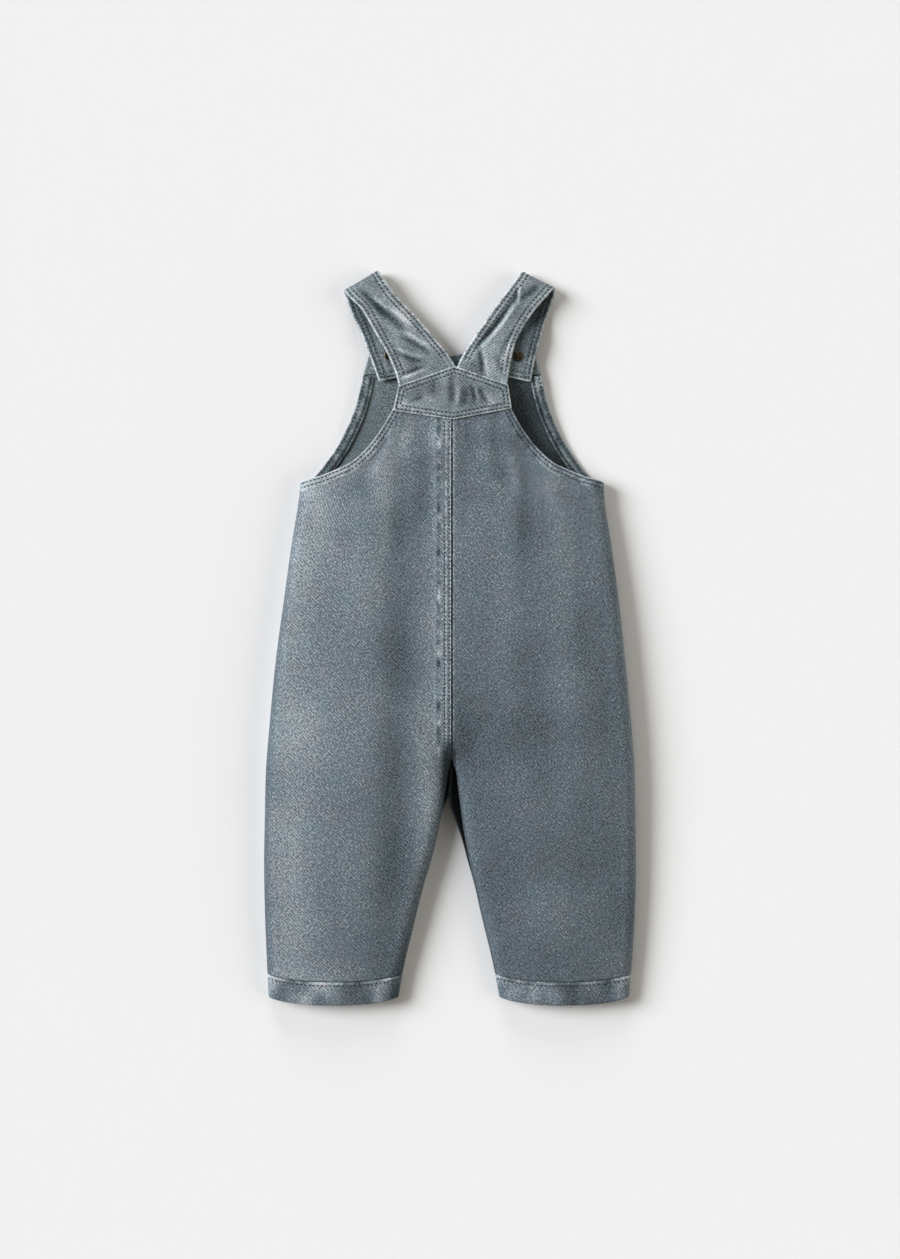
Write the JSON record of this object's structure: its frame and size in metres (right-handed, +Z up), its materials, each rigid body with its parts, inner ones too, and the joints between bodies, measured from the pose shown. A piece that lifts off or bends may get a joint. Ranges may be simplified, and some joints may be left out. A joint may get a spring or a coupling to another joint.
{
  "type": "kids dungarees",
  "caption": "Toddler's denim dungarees laid flat face down, with a back yoke and button straps folded over to the bib.",
  "frame": {"origin": "on the table under the middle of the garment's bounding box", "axes": "+Z up from the table, +Y from the hems to the straps, +X to the right as seen from above, which is the wearer's right, because the back faces up"},
  "size_m": [0.2828, 0.5589, 0.02],
  "materials": {
    "denim": "washed grey-blue right-hand twill",
    "denim_worn": "washed grey-blue twill, paler and crumpled",
    "denim_inside": "wrong side of washed grey-blue twill",
    "brass": "dull antique brass"
  },
  "bodies": {
    "root": {"back_left": "denim", "back_right": "denim", "front_left": "denim", "front_right": "denim", "hem_left": "denim", "hem_right": "denim", "yoke": "denim_worn", "strap_left": "denim_worn", "strap_right": "denim_worn", "bib_facing": "denim_inside", "armhole_facing_left": "denim_inside", "armhole_facing_right": "denim_inside", "button_left": "brass", "button_right": "brass"}
  },
  "joints": []
}
